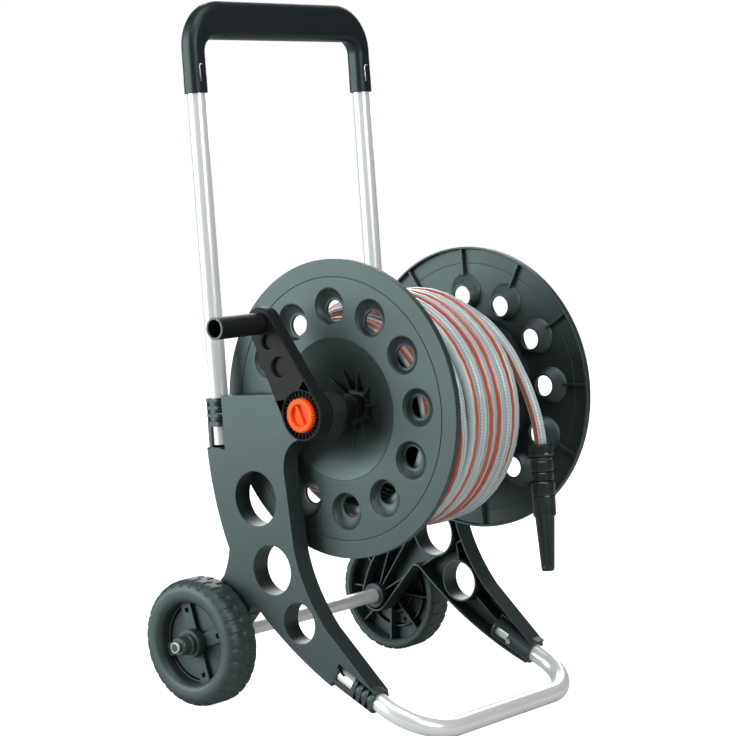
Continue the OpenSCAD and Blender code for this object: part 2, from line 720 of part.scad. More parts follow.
side_panel_left();
side_panel_right();
handle_tube_left();
handle_tube_right();
handle_grip();
grip_clips();
foot_tube();
frame_screws();
wheel_axle();
reel_bush_left();
reel_bush_right();
wheel_left();
wheel_right();
axle_washers();
hub_cap_left();
hub_cap_right();
flange_left();
flange_right();
drum_core();
reel_spindle();
spindle_rings();
ring_screws();
water_elbow();
hose_start_connector();
crank_arm();
crank_pin();
crank_grip();
pin_clip();
lock_knob();
lock_stem();
inlet_elbow();
inlet_seals();
inlet_gland();
inlet_thread();
hose_pack();
hose_tail();
hose_connector();
connector_sleeve();
nozzle_body();
nozzle_head();
nozzle_seal();
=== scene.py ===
import bpy
import bmesh
import json
import math
from mathutils import Matrix, Vector


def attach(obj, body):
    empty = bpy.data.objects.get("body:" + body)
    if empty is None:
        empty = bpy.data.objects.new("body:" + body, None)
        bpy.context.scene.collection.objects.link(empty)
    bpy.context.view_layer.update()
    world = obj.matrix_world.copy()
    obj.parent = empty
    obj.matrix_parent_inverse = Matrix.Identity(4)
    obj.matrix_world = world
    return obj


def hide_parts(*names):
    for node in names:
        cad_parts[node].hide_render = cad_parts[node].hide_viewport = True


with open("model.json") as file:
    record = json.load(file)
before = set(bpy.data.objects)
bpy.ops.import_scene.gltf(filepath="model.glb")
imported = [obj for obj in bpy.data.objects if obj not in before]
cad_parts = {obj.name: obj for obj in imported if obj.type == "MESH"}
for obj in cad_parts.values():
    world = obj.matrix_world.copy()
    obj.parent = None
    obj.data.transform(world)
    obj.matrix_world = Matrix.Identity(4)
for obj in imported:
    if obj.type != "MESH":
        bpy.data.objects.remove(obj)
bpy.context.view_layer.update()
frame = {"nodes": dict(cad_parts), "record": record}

# Everything below is in millimetres about the reel's axis, like the CAD source, until build() places it.
MID = Vector((0.023, -0.0415, 0.412))
MM = 0.001
scene = bpy.context.scene
RAD = math.radians


# ------------------------------------------------------------------ camera and light
def aim(obj, target):
    obj.rotation_mode = "QUATERNION"
    obj.rotation_quaternion = (Vector(target) - obj.location).to_track_quat("-Z", "Y")


cam = bpy.data.objects.new("camera", bpy.data.cameras.new("camera"))
scene.collection.objects.link(cam)
cam.location = (-2.3311, -1.9723, 0.8361)
cam.data.lens = 112.04
cam.data.sensor_width = 36
cam.data.clip_end = 50
aim(cam, (-0.062, -0.0415, 0.4603))
scene.camera = cam


def area_light(name, place, target, size, power, colour=(1, 1, 1)):
    light = bpy.data.lights.new(name, "AREA")
    light.shape = "RECTANGLE"
    light.size, light.size_y = size
    light.energy = power
    light.color = colour
    ob = bpy.data.objects.new(name, light)
    scene.collection.objects.link(ob)
    ob.location = place
    aim(ob, target)
    return ob


area_light("key", (-2.6, 2.3, 1.15), (0, 0, 0.45), (3.2, 2.4), 140, (0.93, 1.0, 0.985))
area_light("top", (-0.7, -0.5, 3.2), (0, 0, 0.4), (2.4, 2.4), 55)
area_light("fill", (-0.7, -3.2, 2.0), (0, 0, 0.4), (1.8, 1.8), 62)
area_light("back", (2.8, 1.9, 1.7), (0, 0, 0.5), (2.6, 2.0), 80)

world = bpy.data.worlds.new("studio")
scene.world = world
world.use_nodes = True
wn = world.node_tree.nodes
wn["Background"].inputs[0].default_value = (1, 1, 1, 1)
wn["Background"].inputs[1].default_value = 0.12
seen = wn.new("ShaderNodeBackground")
seen.inputs[0].default_value = (1, 1, 1, 1)
seen.inputs[1].default_value = 1.0
path = wn.new("ShaderNodeLightPath")
mix = wn.new("ShaderNodeMixShader")
wl = world.node_tree.links
wl.new(path.outputs["Is Camera Ray"], mix.inputs[0])
wl.new(wn["Background"].outputs[0], mix.inputs[1])
wl.new(seen.outputs[0], mix.inputs[2])
wl.new(mix.outputs[0], wn["World Output"].inputs[0])
scene.view_settings.view_transform = "Standard"
scene.view_settings.look = "None"


# ------------------------------------------------------------------ materials
SHEEN_TINT = (0.76, 1.0, 0.97)  # the plastics' faintly green sheen
WHITE = (1.0, 1.0, 1.0)


def material(name, colour, rough, metal=0.0, bump=0.0, scale=900.0, vary=0.05, spec=0.5, tint=SHEEN_TINT):
    """A plain finish whose roughness varies a little, with a fine moulded or drawn grain."""
    mat = bpy.data.materials.new(name)
    mat.use_nodes = True
    n, l = mat.node_tree.nodes, mat.node_tree.links
    b = n["Principled BSDF"]
    b.inputs["Base Color"].default_value = (*colour, 1)
    b.inputs["Roughness"].default_value = rough
    b.inputs["Metallic"].default_value = metal
    b.inputs["Specular IOR Level"].default_value = spec
    if not metal:
        b.inputs["Specular Tint"].default_value = (*tint, 1)
    at = n.new("ShaderNodeTexCoord")
    if vary:
        spots = n.new("ShaderNodeTexNoise")
        spots.inputs["Scale"].default_value = 14
        spots.inputs["Detail"].default_value = 4
        ramp = n.new("ShaderNodeMapRange")
        ramp.inputs["To Min"].default_value = rough - vary
        ramp.inputs["To Max"].default_value = rough + vary
        l.new(at.outputs["Object"], spots.inputs["Vector"])
        l.new(spots.outputs["Fac"], ramp.inputs["Value"])
        l.new(ramp.outputs["Result"], b.inputs["Roughness"])
    if bump:
        grain = n.new("ShaderNodeTexNoise")
        grain.inputs["Scale"].default_value = scale
        grain.inputs["Detail"].default_value = 2
        bumps = n.new("ShaderNodeBump")
        bumps.inputs["Strength"].default_value = bump
        bumps.inputs["Distance"].default_value = 0.0003
        l.new(at.outputs["Object"], grain.inputs["Vector"])
        l.new(grain.outputs["Fac"], bumps.inputs["Height"])
        l.new(bumps.outputs["Normal"], b.inputs["Normal"])
    return mat


MAT = {
    "panel": material("panel", (0.013, 0.0175, 0.018), 0.43, bump=0.12, spec=0.8),
    "wheel": material("wheel", (0.012, 0.016, 0.0165), 0.54, bump=0.10, spec=1.0),
    "cap": material("cap", (0.022, 0.028, 0.028), 0.40, bump=0.08, spec=0.8),
    "flange": material("flange", (0.0115, 0.0155, 0.016), 0.50, bump=0.10, spec=0.95),
    "core": material("core", (0.010, 0.012, 0.013), 0.50, bump=0.10),
    "tube": material("tube", (0.88, 0.91, 0.90), 0.26, metal=0.42, bump=0.05, scale=500, vary=0.03),
    "grip": material("grip", (0.008, 0.0105, 0.0125), 0.42, bump=0.15, spec=0.42),
    "black_plastic": material("black_plastic", (0.010, 0.012, 0.013), 0.42, bump=0.10, spec=0.4),
    "crank": material("crank", (0.010, 0.011, 0.0125), 0.45, bump=0.12, spec=0.13, tint=WHITE),
    "knob": material("knob", (0.93, 0.105, 0.008), 0.42, bump=0.04, spec=0.22, tint=WHITE),
    "steel": material("steel", (0.74, 0.76, 0.77), 0.30, metal=1.0, vary=0.05),
    "seal": material("seal", (0.012, 0.012, 0.012), 0.55),
    "nozzle": material("nozzle", (0.010, 0.0125, 0.013), 0.30, bump=0.05, spec=0.6),
}


def hose_material():
    """Light hose: two wide stripes along it, and between them two thin lines and a mesh of fine threads."""
    mat = bpy.data.materials.new("hose")
    mat.use_nodes = True
    n, l = mat.node_tree.nodes, mat.node_tree.links
    b = n["Principled BSDF"]
    b.inputs["Roughness"].default_value = 0.30
    b.inputs["Coat Weight"].default_value = 0.25
    uv = n.new("ShaderNodeUVMap")
    split = n.new("ShaderNodeSeparateXYZ")
    l.new(uv.outputs["UV"], split.inputs[0])

    def calc(op, a, c, d=None):
        node = n.new("ShaderNodeMath")
        node.operation = op
        for i, v in enumerate((a, c, d)):
            if v is None:
                continue
            if isinstance(v, (int, float)):
                node.inputs[i].default_value = v
            else:
                l.new(v, node.inputs[i])
        return node.outputs[0]

    # v runs once round the hose, and u is the distance along it in metres
    around = split.outputs["Y"]
    along = split.outputs["X"]
    wander = n.new("ShaderNodeTexNoise")
    wander.noise_dimensions = "1D"
    wander.inputs["Scale"].default_value = 0.8
    wander.inputs["Detail"].default_value = 1
    l.new(along, wander.inputs["W"])
    turned = calc("ADD", around, calc("MULTIPLY", wander.outputs["Fac"], 0.36))
    # the loose end is twisted a little against the coil
    twist = n.new("ShaderNodeMapRange")
    twist.interpolation_type = "SMOOTHSTEP"
    twist.inputs["From Min"].default_value = 21.8
    twist.inputs["From Max"].default_value = 22.5
    twist.inputs["To Max"].default_value = -0.12
    l.new(along, twist.inputs["Value"])
    turned = calc("ADD", turned, twist.outputs["Result"])

    def band(centre, half, soft):
        d = calc("ABSOLUTE", calc("SUBTRACT", calc("FRACT", calc("ADD", turned, 0.5 - centre), 0), 0.5), 0)
        r = n.new("ShaderNodeMapRange")
        r.interpolation_type = "SMOOTHSTEP"
        r.inputs["From Min"].default_value = half + soft
        r.inputs["From Max"].default_value = half
        l.new(d, r.inputs["Value"])
        return r.outputs["Result"]

    wide = calc("MAXIMUM", band(0.335, 0.046, 0.024), band(0.84, 0.05, 0.02))
    thin = calc("MAXIMUM", band(0.23, 0.011, 0.012), band(0.13, 0.012, 0.012))
    weave = calc("SINE", calc("MULTIPLY", along, 1500), 0)
    threads = calc("MULTIPLY", calc("GREATER_THAN", weave, 0.2), 0.35)
    haze = calc("MULTIPLY", band(0.18, 0.03, 0.03), threads)
    amount = calc("MINIMUM", calc("ADD", wide, haze), 1)
    tint = n.new("ShaderNodeMix")
    tint.data_type = "RGBA"
    tint.inputs["A"].default_value = (0.47, 0.56, 0.565, 1)
    tint.inputs["B"].default_value = (0.43, 0.080, 0.044, 1)
    l.new(amount, tint.inputs["Factor"])
    lines = n.new("ShaderNodeMix")
    lines.data_type = "RGBA"
    lines.inputs["B"].default_value = (0.12, 0.22, 0.27, 1)
    l.new(tint.outputs["Result"], lines.inputs["A"])
    l.new(calc("MULTIPLY", thin, 0.55), lines.inputs["Factor"])
    l.new(lines.outputs["Result"], b.inputs["Base Color"])
    return mat


MAT["hose"] = hose_material()


# ------------------------------------------------------------------ mesh helpers
AX = Matrix(((0, 0, 1, 0), (1, 0, 0, 0), (0, 1, 0, 0), (0, 0, 0, 1)))  # local z along +X, local x along +Y


def move(x, y, z):
    return Matrix.Translation((x, y, z))


def turn(degrees, axis):
    return Matrix.Rotation(RAD(degrees), 4, axis)


def side(s):
    return Matrix.Scale(-1, 4, (1, 0, 0)) if s < 0 else Matrix.Identity(4)


class Shape:
    def __init__(self):
        self.v, self.f = [], []

    def add(self, verts, faces, m=None):
        n = len(self.v)
        self.v += [(m @ Vector(p)) if m else Vector(p) for p in verts]
        self.f += [tuple(n + i for i in f) for f in faces]
        return self


def rounded(pts, r, n=3, closed=True):
    """A 2-D outline with its corners rounded; a point's own third value replaces r."""
    out = []
    for i, p in enumerate(pts):
        b = Vector(p[:2])
        a, c = Vector(pts[i - 1][:2]), Vector(pts[(i + 1) % len(pts)][:2])
        rr = p[2] if len(p) > 2 else r
        u, w = a - b, c - b
        if rr <= 0 or u.length < 1e-6 or w.length < 1e-6 or (not closed and i in (0, len(pts) - 1)):
            out.append((b.x, b.y))
            continue
        lu, lw = u.length, w.length
        u, w = u / lu, w / lw
        angle = math.acos(max(-1, min(1, u.dot(w))))
        if angle > RAD(174):  # nearly straight
            out.append((b.x, b.y))
            continue
        d = min(rr / math.tan(angle / 2), lu * 0.47, lw * 0.47)
        for k in range(n + 1):
            t = k / n
            q = (1 - t) ** 2 * (b + u * d) + 2 * t * (1 - t) * b + t * t * (b + w * d)
            out.append((q.x, q.y))
    return out


def lathe(shape, pts, m, seg=96, a0=0.0, a1=360.0, wave=None):
    """Turns a closed outline of (radius, height) about local z."""
    full = abs(a1 - a0 - 360) < 1e-6
    cols, n = (seg if full else seg + 1), len(pts)
    verts, faces = [], []
    for j in range(cols):
        t = RAD(a0 + (a1 - a0) * j / seg)
        c, s = math.cos(t), math.sin(t)
        for r, z in pts:
            q = wave(r, z, t) if wave else r
            verts.append((q * c, q * s, z))
    for j in range(seg):
        k = (j + 1) % cols
        for i in range(n):
            h = (i + 1) % n
            if pts[i][0] < 1e-6 and pts[h][0] < 1e-6:
                continue
            faces.append((j * n + i, k * n + i, k * n + h, j * n + h))
    if not full:
        faces += [tuple(range(n)), tuple(range((cols - 1) * n, cols * n))]
    return shape.add(verts, faces, m)


def plate(shape, outline, holes, z0, z1, bevel, m, steps=2):
    """A flat plate with holes and rounded edges, from height z0 to z1."""
    cu = bpy.data.curves.new("plate", "CURVE")
    cu.dimensions = "2D"
    cu.fill_mode = "BOTH"
    for loop in [outline] + list(holes):
        sp = cu.splines.new("POLY")
        sp.points.add(len(loop) - 1)
        for q, p in zip(sp.points, loop):
            q.co = (p[0], p[1], 0, 1)
        sp.use_cyclic_u = True
    cu.extrude = (z1 - z0) / 2 - bevel
    cu.bevel_depth = bevel
    cu.bevel_resolution = steps - 1
    cu.offset = -bevel
    ob = bpy.data.objects.new("plate", cu)
    me = bpy.data.meshes.new_from_object(ob)
    lift = m @ move(0, 0, (z0 + z1) / 2)
    shape.add([v.co for v in me.vertices], [tuple(p.vertices) for p in me.polygons], lift)
    bpy.data.objects.remove(ob)
    bpy.data.curves.remove(cu)
    bpy.data.meshes.remove(me)
    return shape


def block(shape, lo, hi, m, bevel=0.6, steps=2):
    """A box with rounded edges."""
    bm = bmesh.new()
    bmesh.ops.create_cube(bm, size=1)
    size = Vector(hi) - Vector(lo)
    mid = (Vector(hi) + Vector(lo)) / 2
    for v in bm.verts:
        v.co = Vector((v.co.x * size.x, v.co.y * size.y, v.co.z * size.z)) + mid
    if bevel:
        bevel = min(bevel, min(size) * 0.45)
        bmesh.ops.bevel(bm, geom=bm.edges[:], offset=bevel, segments=steps, affect="EDGES", profile=0.5)
    bm.verts.index_update()
    shape.add([v.co for v in bm.verts], [tuple(v.index for v in f.verts) for f in bm.faces], m)
    bm.free()
    return shape


def sweep(shape, pts, radius, seg=24, m=None):
    """A round rod along a route; radius is a number or a function of the share of the route."""
    pts = [Vector(p) for p in pts]
    verts, faces = [], []
    t = (pts[1] - pts[0]).normalized()
    u = t.orthogonal().normalized()
    for i, p in enumerate(pts):
        nt = (pts[min(i + 1, len(pts) - 1)] - pts[max(i - 1, 0)]).normalized()
        u = (u - nt * u.dot(nt)).normalized()
        w = nt.cross(u)
        r = radius(i / (len(pts) - 1)) if callable(radius) else radius
        for k in range(seg):
            a = 2 * math.pi * k / seg
            verts.append(p + (u * math.cos(a) + w * math.sin(a)) * r)
    for i in range(len(pts) - 1):
        for k in range(seg):
            j = (k + 1) % seg
            faces.append((i * seg + k, i * seg + j, (i + 1) * seg + j, (i + 1) * seg + k))
    faces += [tuple(range(seg))[::-1], tuple(range((len(pts) - 1) * seg, len(pts) * seg))]
    return shape.add(verts, faces, m)


def circle(y, z, r, n=48):
    steps = [2 * math.pi * i / n for i in range(n)]
    return [(y + r * math.cos(t), z + r * math.sin(t)) for t in steps]


def arc(y, z, r, a0, a1, n=12):
    return [(y + r * math.cos(RAD(a0 + (a1 - a0) * i / n)), z + r * math.sin(RAD(a0 + (a1 - a0) * i / n)))
            for i in range(n + 1)]


def bez(a, b, c, n=12):
    a, b, c = Vector(a), Vector(b), Vector(c)
    return [tuple((1 - i / n) ** 2 * a + 2 * i / n * (1 - i / n) * b + (i / n) ** 2 * c) for i in range(n)]


def hull(a, ra, b, rb, n=24):
    """Outline round two circles."""
    a, b = Vector(a), Vector(b)
    d = b - a
    base = math.degrees(math.atan2(d.y, d.x))
    lean = math.degrees(math.acos((ra - rb) / d.length))
    return (arc(a.x, a.y, ra, base + lean, base + 360 - lean, n)
            + arc(b.x, b.y, rb, base - lean, base + lean, n))


def build(name, shape, body, slot, stands_for=(), sharp=32):
    me = bpy.data.meshes.new(name)
    me.from_pydata([MID + v * MM for v in shape.v], [], shape.f)
    bm = bmesh.new()
    bm.from_mesh(me)
    bmesh.ops.remove_doubles(bm, verts=bm.verts, dist=4e-6)
    bmesh.ops.dissolve_degenerate(bm, edges=bm.edges, dist=1e-6)
    bmesh.ops.recalc_face_normals(bm, faces=bm.faces)
    bm.to_mesh(me)
    bm.free()
    me.polygons.foreach_set("use_smooth", [True] * len(me.polygons))
    me.set_sharp_from_angle(angle=RAD(sharp))
    me.materials.append(MAT[slot])
    ob = bpy.data.objects.new(name, me)
    scene.collection.objects.link(ob)
    ob.modifiers.new("normals", "WEIGHTED_NORMAL").keep_sharp = True
    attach(ob, body)
    if stands_for:
        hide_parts(*stands_for)
    return ob


# ------------------------------------------------------------------ dimensions, as in the CAD source
# flange: radius, web from and to (along the axle), eye, cups' circle and mouth, turn of the cups in degrees
FLANGE_R, WEB_IN, WEB_OUT, EYE_R, CUP_R, CUP_MOUTH, PHASE = 195, 142, 145, 93, 133.5, 24.4, 6.24
# panel: inner edge, top of its walls, inner and outer face of its skin
PANEL_IN, WALL_TOP, SKIN_IN, SKIN_OUT = 155, 182, 180, 183
TUBE_X, TUBE_R = 168, 12.5
# handle: place from front to back, lean, lower end and length above the axis
HY, LEAN, H_LOW, HH = 191.5, 5.25, 62, 407
# foot loop: place, rise, socket mouth, straight leg and bend
FY, FZ, RISE, F_MOUTH, F_LEG, F_BEND = -165, -399.5, 23, 83, 148, 66
# wheels: axle's place, radius, inner and outer side
AY, AZ, WR, W_IN, W_OUT = 192, -326, 86, 185, 232
AXLE_END = 249
# crank: inner and outer side, grip's distance and angle
CR_IN, CR_OUT, CR_R, CR_A = 188, 216, 134, 57
KNOB_OUT = 220
HANDLE = move(TUBE_X, HY, 0) @ turn(-LEAN, "X")
FOOT = move(0, FY, FZ) @ turn(RISE, "X")
GRIP_AT = (CR_R * math.cos(RAD(CR_A)), CR_R * math.sin(RAD(CR_A)))

# ------------------------------------------------------------------ hose, first, as everything lies round it
HOSE_D, SAG = 16.0, 13.0
TURN, LAYER = HOSE_D * 1.025, HOSE_D * math.sin(RAD(60))
R0 = 102 + SAG + 1.3 + HOSE_D / 2
START = Vector((-132.5 + 14, 38, -112))
LAYERS = [(-132.5, 12.0, 11.0), (-100.0, 8.9, 7.9), (-77.0, 7.5, 6.17)]  # from x, width in turns, rounds run
# angle at which the first turn starts, parts and pull of the curve to it, parts of a step up a layer
START_ANGLE, LEAD_PARTS, LEAD_PULL, CLIMB_PARTS = 250.0, 14, 120, 16
TAIL_X = 55.0
END = Vector((TAIL_X, -178, -50))
END_TILT = 5
END_DIR = Vector((0, -math.sin(RAD(END_TILT)), -math.cos(RAD(END_TILT))))
TAIL = [(20, 127.5), (-4, 128), (-29, 125), (-53, 117.5), (-76, 106.5), (-96, 94), (-113, 79), (-129, 61),
        (-142.5, 41), (-153.5, 23), (-162.5, 4.5), (-169.5, -13), (-174.5, -30)]
STEP = 9


def on_coil(x, r, angle):
    return Vector((x, -r * math.sin(RAD(angle)), r * math.cos(RAD(angle)) - SAG))


def ease(t):
    return t * t * (3 - 2 * t)


def smooth(points, parts):
    """A curve through the points."""
    out = []
    for i in range(len(points) - 1):
        a, b = points[max(i - 1, 0)], points[i]
        c, d = points[i + 1], points[min(i + 2, len(points) - 1)]
        for k in range(parts):
            t = k / parts
            out.append(0.5 * (2 * b + (c - a) * t + (2 * a - 5 * b + 4 * c - d) * t * t
                              + (3 * b - a - 3 * c + d) * t * t * t))
    return out + [points[-1]]


def hose_route():
    """From the drum's water pipe through three layers of turns, then over the top and down to the nozzle."""
    x, r = LAYERS[0][0] + HOSE_D / 2, R0
    total = START_ANGLE
    first = on_coil(x, r, total)
    heading = (on_coil(x, r, total + 1) - first).normalized()
    pts = []
    for i in range(LEAD_PARTS):
        t = i / LEAD_PARTS
        h = (2 * t ** 3 - 3 * t * t + 1, t ** 3 - 2 * t * t + t, -2 * t ** 3 + 3 * t * t, t ** 3 - t * t)
        pts.append(h[0] * START + h[1] * Vector((0, LEAD_PULL, 0)) + h[2] * first
                   + h[3] * heading * LEAD_PULL)
    for i, (x0, width, rounds) in enumerate(LAYERS):
        lo, hi = x0 + HOSE_D / 2, x0 + width * TURN - HOSE_D / 2
        a, b = (lo, hi) if i % 2 == 0 else (hi, lo)
        n = round(rounds * 360 / STEP)
        for k in range(n + 1):
            # the turns of the outer layers wander a little, as hose does when it is wound by hand
            wander = i * 0.45 * math.sin(k * STEP * 0.0131 + i)
            pts.append(on_coil(a + (b - a) * k / n + wander, r + wander, total + rounds * 360 * k / n))
        total += rounds * 360
        if i < 2:
            nx0, nw, _ = LAYERS[i + 1]
            nx = nx0 + nw * TURN - HOSE_D / 2 if i == 0 else nx0 + HOSE_D / 2
            for k in range(1, CLIMB_PARTS):
                total += STEP
                share = ease(k / CLIMB_PARTS)
                pts.append(on_coil(b + (nx - b) * share, r + LAYER * share, total))
            total += STEP
            r += LAYER
        else:
            last = b
    goal = Vector((TAIL_X, *TAIL[0]))
    gy, gz = goal.y, goal.z + SAG
    end_r, end_a = math.hypot(gy, gz), math.degrees(math.atan2(-gy, gz)) % 360
    ahead = (end_a - total) % 360
    n = max(8, round(ahead / STEP))
    for k in range(1, n):
        t = k / n
        pts.append(on_coil(last + (TAIL_X - last) * ease(t), r + (end_r - r) * ease(t), total + ahead * t))
    tail = [pts[-2], pts[-1]] + [Vector((TAIL_X, y, z)) for y, z in TAIL]
    tail += [END - 6 * END_DIR, END, END + 21 * END_DIR]
    return pts[:-2] + smooth(tail, 4)


ROUTE = hose_route()


def ring_tube(shape, pts, radius, seg, centre):
    """A tube whose rings keep one side turned away from a centre line. Gives its UVs and its length in m."""
    verts, faces, uv = [], [], []
    dist = [0.0]
    for i in range(1, len(pts)):
        dist.append(dist[-1] + (pts[i] - pts[i - 1]).length / 1000)
    for i, p in enumerate(pts):
        t = (pts[min(i + 1, len(pts) - 1)] - pts[max(i - 1, 0)]).normalized()
        out = Vector((0, p.y - centre[0], p.z - centre[1]))
        u = (out - t * out.dot(t)).normalized()
        w = t.cross(u)
        for k in range(seg):
            a = 2 * math.pi * k / seg
            verts.append(p + (u * math.cos(a) + w * math.sin(a)) * radius)
    for i in range(len(pts) - 1):
        for k in range(seg):
            j = (k + 1) % seg
            faces.append((i * seg + k, i * seg + j, (i + 1) * seg + j, (i + 1) * seg + k))
            v0, v1 = k / seg, (k + 1) / seg
            uv.append([(dist[i], v0), (dist[i], v1), (dist[i + 1], v1), (dist[i + 1], v0)])
    shape.add(verts, faces)
    return uv, dist[-1]


hose_shape = Shape()
hose_uv, HOSE_LENGTH = ring_tube(hose_shape, ROUTE, HOSE_D / 2, 18, (0, -SAG))
me = bpy.data.meshes.new("hose")
me.from_pydata([MID + v * MM for v in hose_shape.v], [], hose_shape.f)
layer = me.uv_layers.new(name="UVMap")
flat = [c for face in hose_uv for corner in face for c in corner]
layer.data.foreach_set("uv", flat)
me.polygons.foreach_set("use_smooth", [True] * len(me.polygons))
me.materials.append(MAT["hose"])
hose = bpy.data.objects.new("hose", me)
scene.collection.objects.link(hose)
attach(hose, "reel")
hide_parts("hose_pack", "hose_tail")


# ------------------------------------------------------------------ side panels
def on_handle(across, along):
    s, c = math.sin(RAD(LEAN)), math.cos(RAD(LEAN))
    return (HY + s * along + c * across, c * along - s * across)


def on_foot(across, along):
    s, c = math.sin(RAD(RISE)), math.cos(RAD(RISE))
    return (FY + c * along - s * across, FZ + s * along + c * across)


FRONT = ([on_handle(-18, 4.4)] + arc(0, 0, 24.5, 84, 255, 24) + bez((25, -36.5), (64, -44), (60.5, -85))
         + bez((60.5, -85), (52, -135), (43.5, -185)) + bez((43.5, -185), (31, -236), (-12, -283))
         + [(-12, -283), (-94.5, -353.5)])
LOWER = bez((-82.6, -381.6), (25, -344.5), (108, -273.5), 30)
BACK = (LOWER[9:] + bez((108, -273.5), (116, -268), (122, -276), 5) + arc(AY, AZ, 24, 220, 380, 20)
        + bez((212, -309), (202, -272), (171, -237)) + bez((171, -237), (163, -222), (160.5, -199), 6)
        + bez((160.5, -199), (190, -140), (200.5, -66)) + [(200.5, -66)])
FOOT_NOTCH = [on_foot(17.8, 150), on_foot(-15.5, 150)]
HANDLE_NOTCH = [on_handle(10.5, -67), on_handle(-18, -67)]
NOTCHED = FRONT + FOOT_NOTCH + BACK + HANDLE_NOTCH
WHOLE = [(206, 2)] + FRONT[1:] + LOWER + BACK[21:]
HOLES = [(111.5, -125.6, 36.5), (82.6, -217.6, 33), (34.5, -281.9, 27)]
RIBS = [((AY, AZ), (28, -219)), ((AY, AZ), (100, -180)), ((AY, AZ), (152, -200)), ((0, 0), (111, -90)),
        ((0, 0), (190, -20)), ((111, -125), (196, -110)), ((111, -125), (60, -130)), ((34, -282), (60, -160)),
        ((34, -282), (-40, -340)), ((111, -125), (160, -20)), ((82, -218), (111, -125))]


def inside(p, loop):
    hit = False
    for i in range(len(loop)):
        (y0, z0), (y1, z1) = loop[i - 1], loop[i]
        if (z0 > p[1]) != (z1 > p[1]) and p[0] < (y1 - y0) * (p[1] - z0) / (z1 - z0) + y0:
            hit = not hit
    return hit


def wall(shape, line, thick, x0, x1, m, gap=0.05, bevel=0.7):
    """A standing wall whose outer side follows a line."""
    def off(d):
        out = []
        for i, p in enumerate(line):
            a = Vector(line[i]) - Vector(line[i - 1]) if i else Vector(line[1]) - Vector(line[0])
            b = Vector(line[i + 1]) - Vector(line[i]) if i + 1 < len(line) else a
            if a.length < 1e-6:
                a = b
            if b.length < 1e-6:
                b = a
            a, b = a.normalized(), b.normalized()
            na, nb = Vector((-a.y, a.x)), Vector((-b.y, b.x))
            out.append(tuple(Vector(p) + d * (na + nb) / max(0.35, 1 + na.dot(nb))))
        return out
    plate(shape, off(gap) + off(thick)[::-1], [], x0, x1, bevel, m)


def rib_runs(a, b, reach):
    """The stretches of the line from a to b that lie inside the panel and outside its round walls."""
    a, b = Vector(a), Vector(b)
    n = max(2, int((b - a).length / 1.5))
    runs, run = [], []
    for i in range(n + 1):
        p = a + (b - a) * i / n
        free = inside(p, WHOLE) and all((p - Vector(h[:2])).length > h[2] + 1.5 for h in HOLES)
        free = free and p.length > reach and (p - Vector((AY, AZ))).length > 16
        if free:
            run.append(p)
        elif run:
            runs.append(run)
            run = []
    if run:
        runs.append(run)
    return [(r[0], r[-1]) for r in runs if (r[-1] - r[0]).length > 4]


def sleeve(shape, m, mouth, direction):
    """Socket round a tube, cut flat just under the panel's face: grooves and a window, and an end disc."""
    def part(lo, hi, a0, a1, seg, outer=17.6):
        z0, z1 = sorted((mouth + direction * lo, mouth + direction * hi))
        lathe(shape, rounded([(12.62, z0), (outer, z0), (outer, z1), (12.62, z1)], 0.6, 2), m, seg, a0, a1,
              wave=lambda r, z, t: min(r, 14.8 / max(math.cos(t), 0.01)))
    part(-1, 39, 88, 272, 28)
    part(63, 67, 88, 272, 28)
    part(39, 63, 88, 153, 10)
    part(39, 63, 207, 272, 10)
    part(-1, 37, -92, 92, 40, 14.1)
    for lo, hi in ((-1, 3.5), (9.5, 14), (20, 24.5), (30.5, 37), (65, 67)):
        part(lo, hi, -92, 92, 40)
    part(37, 65, 18, 92, 16)
    z0, z1 = sorted((mouth + direction * 65.2, mouth + direction * 67))
    lathe(shape, [(0, z0), (13, z0), (13, z1), (0, z1)], m, 32)
    part(-1, 37, 60, 92, 10)


def side_panel(name, s):
    shape, m = Shape(), side(s) @ AX
    holes = [circle(*h, 64) for h in HOLES]
    holes += [circle(0, 0, 16.05, 48), circle(AY, AZ, 10.05, 40)]
    plate(shape, NOTCHED, holes, SKIN_IN, SKIN_OUT, 0.8, m, 3)
    wall(shape, FRONT, 3, PANEL_IN, WALL_TOP, m)
    wall(shape, BACK, 3, PANEL_IN, WALL_TOP, m)
    wall(shape, [FRONT[-1]] + FOOT_NOTCH + [BACK[0]], 2.4, 167, WALL_TOP, m, bevel=0.5)
    wall(shape, [BACK[-1]] + HANDLE_NOTCH + [FRONT[0]], 2.4, 167, WALL_TOP, m, bevel=0.5)
    wall(shape, [(200.5, -66), (206, 2), on_handle(-18, 4.4)], 3, PANEL_IN, 168, m)
    wall(shape, [(-94.5, -353.5)] + LOWER[:10], 3, PANEL_IN, 168, m)
    for y, z, r in HOLES:
        lathe(shape, rounded([(r + 0.05, PANEL_IN), (r + 3, PANEL_IN), (r + 3, WALL_TOP),
                              (r + 0.05, WALL_TOP)], 0.8), m @ move(y, z, 0), 64)
    lathe(shape, rounded([(16.06, PANEL_IN), (23, PANEL_IN), (23, WALL_TOP), (16.06, WALL_TOP)], 0.8), m, 64)
    lathe(shape, rounded([(10.06, 153), (18, 153), (18, WALL_TOP), (10.06, WALL_TOP)], 0.8),
          m @ move(AY, AZ, 0), 48)
    for a, b in RIBS:
        for p, q in rib_runs(a, b, 22):
            n = Vector((-(q - p).y, (q - p).x)).normalized() * 1.1
            plate(shape, [p + n, p - n, q - n, q + n][::-1], [], 161, 181, 0.4, m)
    sleeve(shape, side(s) @ HANDLE, 0, -1)
    sleeve(shape, side(s) @ move(TUBE_X, 0, 0) @ FOOT @ turn(-90, "X"), F_MOUTH, 1)
    return build(name, shape, "root", "panel", (name,))


side_panel("side_panel_left", -1)
side_panel("side_panel_right", 1)

